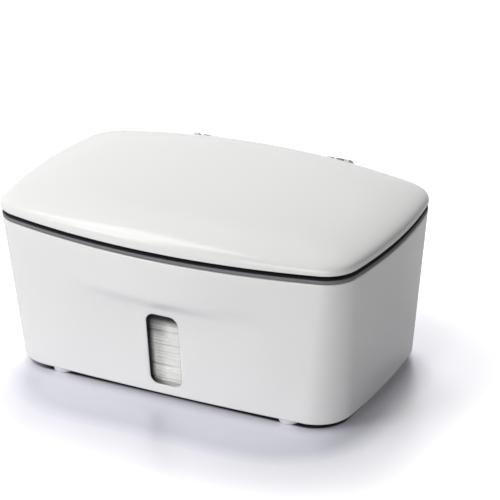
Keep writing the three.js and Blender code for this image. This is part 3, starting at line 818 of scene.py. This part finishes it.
def wipe_data(index):
    """One layer: soft plies that bulge at the edges, uneven all round, with deeper folds.

    Three noises shape it: long waves and short ones in along the edge, and a slow sag in height.
    """
    plies = PLIES[index % 6]
    deep = DEEP_FOLDS[(index * 5 + 2) % 6]
    seed = Vector((index * 7.3, index * 3.1, 0))
    shift = 0.5 * math.sin(index * 2.4)
    steps = plies * 8
    base = STACK_Z + index * PITCH
    rings = []
    for k in range(steps + 1):
        t = k / steps
        ply = (t * plies) % 1.0 if k < steps else 0.0
        number = min(plies - 1, int(t * plies))
        bulge = math.sin(math.pi * ply) ** 0.5 if 0 < ply < 1 else 0
        fold = deep if k in (0, steps) else 0.4
        ring = []
        for p in outline(WIPE_SHAPE, 0, (20, 6, 34)):
            wave = noise.noise(Vector((p.x * 0.05, p.y * 0.05, number * 1.7)) + seed)
            fine = noise.noise(Vector((p.x * 0.22, p.y * 0.22, number * 2.3)) + seed * 2)
            sag = noise.noise(Vector((p.x * 0.035, p.y * 0.035, number * 0.9)) + seed)
            reach = fold * (1 - bulge) + 0.55 * (0.5 - wave) + 0.22 * fine
            q = p - Vector((p.x, p.y)).normalized() * max(-0.35, reach)
            z = base + LAYER * t + 0.42 * sag * math.sin(math.pi * t)
            ring.append(Vector((q.x + shift, q.y + shift / 2 + STACK_Y, z)))
        rings.append(ring)
    low = [shrunk(rings[0], share, STACK_Y) for share in (0.6, 0.85, 0.97)]
    high = [shrunk(rings[-1], share, STACK_Y) for share in (0.97, 0.85, 0.6, 0.3)]
    return loft_data(low + rings + high)


for index in range(LAYERS):
    top = index == LAYERS - 1
    node = "top_wipe" if top else f"wipe_layer_{index + 1:02d}"
    layer = make(f"{node}_folds", wipe_data(index), cloth, 80)
    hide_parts(node)
    if top:
        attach(layer, "stack_top")
    else:
        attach(layer, "tub")
        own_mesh(layer)


# Weighted plate.


def slot_loft(stations):
    """A solid of the slot's stadium from (grow, z) stations."""
    rings = []
    for grow, z in stations:
        radius, centre = SLOT_WIDTH / 2 + grow, (SLOT_LENGTH - SLOT_WIDTH) / 2
        points = []
        for side, _ in reversed(SIDES):
            for i in range(21):
                a = -side * math.pi / 2 + math.pi * i / 20
                points.append(Vector((side * centre + radius * math.cos(a), radius * math.sin(a))))
        rings.append(level(points, z, STACK_Y))
    return loft_data(rings)


def plate_cover():
    """The cover: a shallow dome with a hollow under it, and a collar and a flare at the slot."""
    high = PLATE_Z + PLATE_HIGH
    rings = [plate_ring(0.4, PLATE_Z), plate_ring(0, PLATE_Z + 0.4)]
    rings += [plate_ring(inset, high - rise) for inset, rise in reversed(round_in(PLATE_ROUND, 8))]
    edge = rings[-1]
    for i in range(1, 12):
        share = 1 - i * 0.055
        drop = Vector((0, 0, 1.2 * (1 - share * share)))
        rings.append([p - drop for p in shrunk(edge, share, STACK_Y)])
    cover = make("plate_cover_skin", loft_data(rings), liner_white, 35)
    cut(cover, loft_data([plate_ring(PLATE_WALL, PLATE_Z - 4), plate_ring(PLATE_WALL, high - 2.2)]))
    cut(cover, slot_loft([(1.6, PLATE_Z), (1.6, high - 1.9)]), "UNION")
    flare = [(0, PLATE_Z - 4), (0, high - 2.9)]
    for i in range(1, 9):
        a = math.pi / 2 * i / 8
        flare.append((3.0 * (1 - math.cos(a)), high - 2.9 + 1.9 * math.sin(a)))
    flare += [(3.6, high + 0.1), (3.6, high + 4)]
    cut(cover, slot_loft(flare))
    shade(cover, 35)
    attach(cover, "weighted_plate")
    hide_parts("plate_cover")


def plate_layer(name, low, high, look, node):
    """A flat layer inside the cover, with eased edges and the slot cut out."""
    stations = ((0.3, low), (0, low + 0.3), (0, high - 0.3), (0.3, high))
    rings = [plate_ring(PLATE_WALL + 0.3 + ease, z) for ease, z in stations]
    sheet = make(name, loft_data(rings), look, 35)
    cut(sheet, slot_loft([(1.9, low - 3), (1.9, high + 3)]))
    shade(sheet, 35)
    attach(sheet, "weighted_plate")
    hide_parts(node)


plate_cover()
plate_layer("plate_base_skin", PLATE_Z, PLATE_Z + 1.6, liner_white, "plate_base")
low, high = PLATE_Z + 1.9, PLATE_Z + 4.5
plate_layer("plate_weight_skin", low, high, weight_steel, "plate_weight")


# Floor, light and camera.

# Rectangles on the floor, as (centre, half sizes), that the floor's tones are measured from. Close
# to SHADOW the glow is held back, which paints shade there.
FOOTPRINT = (0, -0.001), (0.0785, 0.036)
SHADOW = (0.01, -0.018), (0.05, 0.023)
# Spans of distance from them, or of X, over which a tone changes. CONTACT and CONTACT_LEFT_X bound
# the painted shadow under the tub.
CONTACT, CONTACT_LEFT_X = (0.0188, 0.0206), (-0.09, -0.077)
FADE_OUT, HORIZON = (0.05, 0.13), (0.2, 0.7)
EDGE_BAND, EDGE_END_X, RIGHT_X = (0.021, 0.034), (0.096, 0.106), (0.104, 0.122)
# Shares of FADE_OUT.
NEAR_SHARE, FAR_SHARE, RIGHT_SHARE = (0, 0.18), (0.18, 0.8), (0, 0.7)
# Floor colours: a cool painted tint near the tub, the plain floor further out, and the near black
# painted shadow under the tub.
FLOOR_NEAR, FLOOR_FAR, FLOOR_PAINTED_SHADOW = (0.74, 0.74, 0.82), (0.6, 0.6, 0.6), (0.02, 0.02, 0.02)
# The floor's mirror: its tint, and its share close to the tub.
MIRROR, POLISH = (0.92, 0.92, 0.99, 1), 0.32
# How much glow is painted on the floor, lifting it towards white where the camera sees it, and in
# mirror images: painted light in a band by the tub's foot and to its right, and less glow close to
# the tub, which paints shade there.
LIFT_EDGE, LIFT_RIGHT, LIFT_NEAR, LIFT_FAR, LIFT_OUT = 0.14, 0.16, 0.32, 0.4, 0.4
LIFT_MIRRORED = 0.35
FLOOR_SIZE = 6.0
WORLD_LIGHT = 0.04
# Lamps: name, place, size across, size up, power, and whether glossy surfaces mirror it.
LAMPS = (
    ("front_left", (-1.1, -1.3, 0.9), 0.7, 0.6, 7.6, True),
    ("front_low", (0.4, -1.6, 0.2), 1.2, 0.35, 9.0, True),
    ("left_high", (-0.7, -0.55, 1.2), 0.9, 0.8, 10.4, True),
    ("back_left", (-0.35, 0.75, 1.2), 0.6, 0.6, 11.5, False),
)
LAMP_AIM = Vector((0, 0, 0.05))
# Camera, as fitted to the photo: angles in degrees, focal length in pixels of a 500 pixel picture.
AZIMUTH, ELEVATION, ROLL, DISTANCE = 27.68, 24.82, -1.16, 1.32712
AIM_RIGHT, AIM_UP = 0.01886, 0.06438
FOCAL, PICTURE, SENSOR = 2403.84, 500, 36


def box_distance(tree, centre, half):
    """Distance in metres on the floor from a rectangle."""
    value = add(tree, "ShaderNodeTexCoord").outputs["Object"]
    for operation, amount in (
        ("SUBTRACT", centre),
        ("ABSOLUTE", None),
        ("SUBTRACT", half),
        ("MAXIMUM", (0, 0)),
        ("LENGTH", None),
    ):
        node = add(tree, "ShaderNodeVectorMath", operation=operation)
        tree.links.new(value, node.inputs[0])
        if amount:
            node.inputs[1].default_value = (*amount, 0)
        value = node.outputs["Value" if operation == "LENGTH" else "Vector"]
    return value


def seen_ray(tree, mirrored=1.0):
    """1 for camera rays and what shows through clear pieces, and mirrored for reflections."""
    path = add(tree, "ShaderNodeLightPath")
    seen = joined(
        tree, "MAXIMUM", path.outputs["Is Camera Ray"], path.outputs["Is Transmission Ray"]
    )
    glossy = ranged(tree, path.outputs["Is Glossy Ray"], 0, mirrored, 0, 1)
    return joined(tree, "MAXIMUM", seen, glossy)


def floor_white():
    """Pale floor: a painted shadow under the tub, a cool painted tint, painted shade and light in
    its glow, and a soft mirror close to it, plain white far out.
    """
    m, tree, shader = material("floor_pale")
    x = object_axis(tree, "X")
    from_foot = box_distance(tree, *FOOTPRINT)
    from_shadow = box_distance(tree, *SHADOW)
    away = ranged(tree, from_shadow, 0, 1, *FADE_OUT)
    # Painted shadow: near black under the tub out to its foot, lighter at its left end.
    outside_painted_shadow = joined(
        tree,
        "MAXIMUM",
        ranged(tree, from_foot, 0, 1, *CONTACT),
        ranged(tree, x, 0.45, 0, *CONTACT_LEFT_X),
    )
    painted_shade_tone = add(tree, "ShaderNodeMix", data_type="RGBA", blend_type="MULTIPLY")
    painted_shade_tone.inputs[0].default_value = 1
    tree.links.new(tinted(tree, away, FLOOR_NEAR, FLOOR_FAR, 0, 1), painted_shade_tone.inputs[6])
    tree.links.new(tinted(tree, outside_painted_shadow, FLOOR_PAINTED_SHADOW, (1, 1, 1), 0, 1), painted_shade_tone.inputs[7])
    tree.links.new(painted_shade_tone.outputs[2], shader.inputs["Base Color"])
    shader.inputs["Roughness"].default_value = 0.6

    # Painted light: a band of glow just outside the tub's foot, ending towards its right.
    edge = joined(
        tree,
        "MULTIPLY",
        ranged(tree, from_foot, LIFT_EDGE, 0, *EDGE_BAND),
        ranged(tree, x, 1, 0, *EDGE_END_X),
    )
    # Painted light on the floor to the right of the tub, close to it.
    right = joined(
        tree,
        "MULTIPLY",
        ranged(tree, x, 0, LIFT_RIGHT, *RIGHT_X),
        ranged(tree, away, 1, 0, *RIGHT_SHARE),
    )
    rise = joined(tree, "MULTIPLY", edge, outside_painted_shadow)
    # Glow held back close to the tub, which paints shade there, rising to white further out.
    for lift in (
        right,
        ranged(tree, away, 0, LIFT_NEAR, *NEAR_SHARE),
        ranged(tree, away, 0, LIFT_FAR, *FAR_SHARE),
        ranged(tree, from_shadow, 0, LIFT_OUT, *HORIZON),
    ):
        rise = joined(tree, "ADD", rise, lift)
    glow = add(tree, "ShaderNodeEmission")
    strength = joined(tree, "MULTIPLY", seen_ray(tree, LIFT_MIRRORED), rise)
    tree.links.new(strength, glow.inputs["Strength"])
    lifted = add(tree, "ShaderNodeAddShader")
    tree.links.new(shader.outputs["BSDF"], lifted.inputs[0])
    tree.links.new(glow.outputs["Emission"], lifted.inputs[1])

    mirror = add(tree, "ShaderNodeBsdfGlossy")
    mirror.inputs["Color"].default_value = MIRROR
    mirror.inputs["Roughness"].default_value = 0.3
    polish = add(tree, "ShaderNodeMixShader")
    share = joined(tree, "MULTIPLY", ranged(tree, away, POLISH, 0, 0, 1), outside_painted_shadow)
    tree.links.new(joined(tree, "MULTIPLY", share, seen_ray(tree)), polish.inputs["Fac"])
    tree.links.new(lifted.outputs["Shader"], polish.inputs[1])
    tree.links.new(mirror.outputs["BSDF"], polish.inputs[2])
    tree.links.new(polish.outputs["Shader"], tree.nodes["Material Output"].inputs["Surface"])
    return m


def white_world():
    """Plain soft light all round, and a white background for the camera and the reflections."""
    world = bpy.data.worlds.new("studio")
    bpy.context.scene.world = world
    world.use_nodes = True
    tree = world.node_tree
    background = tree.nodes["Background"]
    background.inputs["Color"].default_value = (1, 1, 1, 1)
    strength = ranged(tree, seen_ray(tree), WORLD_LIGHT, 1, 0, 1)
    tree.links.new(strength, background.inputs["Strength"])


def studio():
    mesh = bpy.data.meshes.new("floor")
    size = FLOOR_SIZE
    corners = [(-size, -size, 0), (size, -size, 0), (size, size, 0), (-size, size, 0)]
    mesh.from_pydata(corners, [], [(0, 1, 2, 3)])
    mesh.materials.append(floor_white())
    floor = bpy.data.objects.new("floor", mesh)
    bpy.context.scene.collection.objects.link(floor)
    white_world()
    for name, place, size_x, size_y, power, mirrored in LAMPS:
        lamp = bpy.data.lights.new(name, "AREA")
        lamp.shape = "RECTANGLE"
        lamp.size, lamp.size_y = size_x, size_y
        lamp.energy = power
        obj = bpy.data.objects.new(name, lamp)
        bpy.context.scene.collection.objects.link(obj)
        obj.location = place
        obj.rotation_mode = "QUATERNION"
        obj.rotation_quaternion = (LAMP_AIM - Vector(place)).to_track_quat("-Z", "Y")
        obj.visible_glossy = mirrored


def camera():
    azimuth, elevation, roll = (math.radians(a) for a in (AZIMUTH, ELEVATION, ROLL))
    flat, high = math.cos(elevation), math.sin(elevation)
    back = Vector((math.sin(azimuth) * flat, -math.cos(azimuth) * flat, high))
    right = Vector((math.cos(azimuth), math.sin(azimuth), 0))
    up = back.cross(right)
    aim = right * AIM_RIGHT + Vector((0, 0, AIM_UP))
    place = aim + back * DISTANCE + Vector((0, SHIFT_Y * MM, 0))
    x_axis = right * math.cos(roll) + up * math.sin(roll)
    y_axis = up * math.cos(roll) - right * math.sin(roll)
    data = bpy.data.cameras.new("camera")
    data.sensor_width = SENSOR
    data.lens = FOCAL / PICTURE * SENSOR
    data.clip_start, data.clip_end = 0.05, 20
    obj = bpy.data.objects.new("camera", data)
    bpy.context.scene.collection.objects.link(obj)
    turn = Matrix((x_axis, y_axis, back)).transposed()
    obj.matrix_world = Matrix.Translation(place) @ turn.to_4x4()
    bpy.context.scene.camera = obj


studio()
camera()
bpy.context.scene.view_settings.view_transform = "Standard"
bpy.context.view_layer.update()
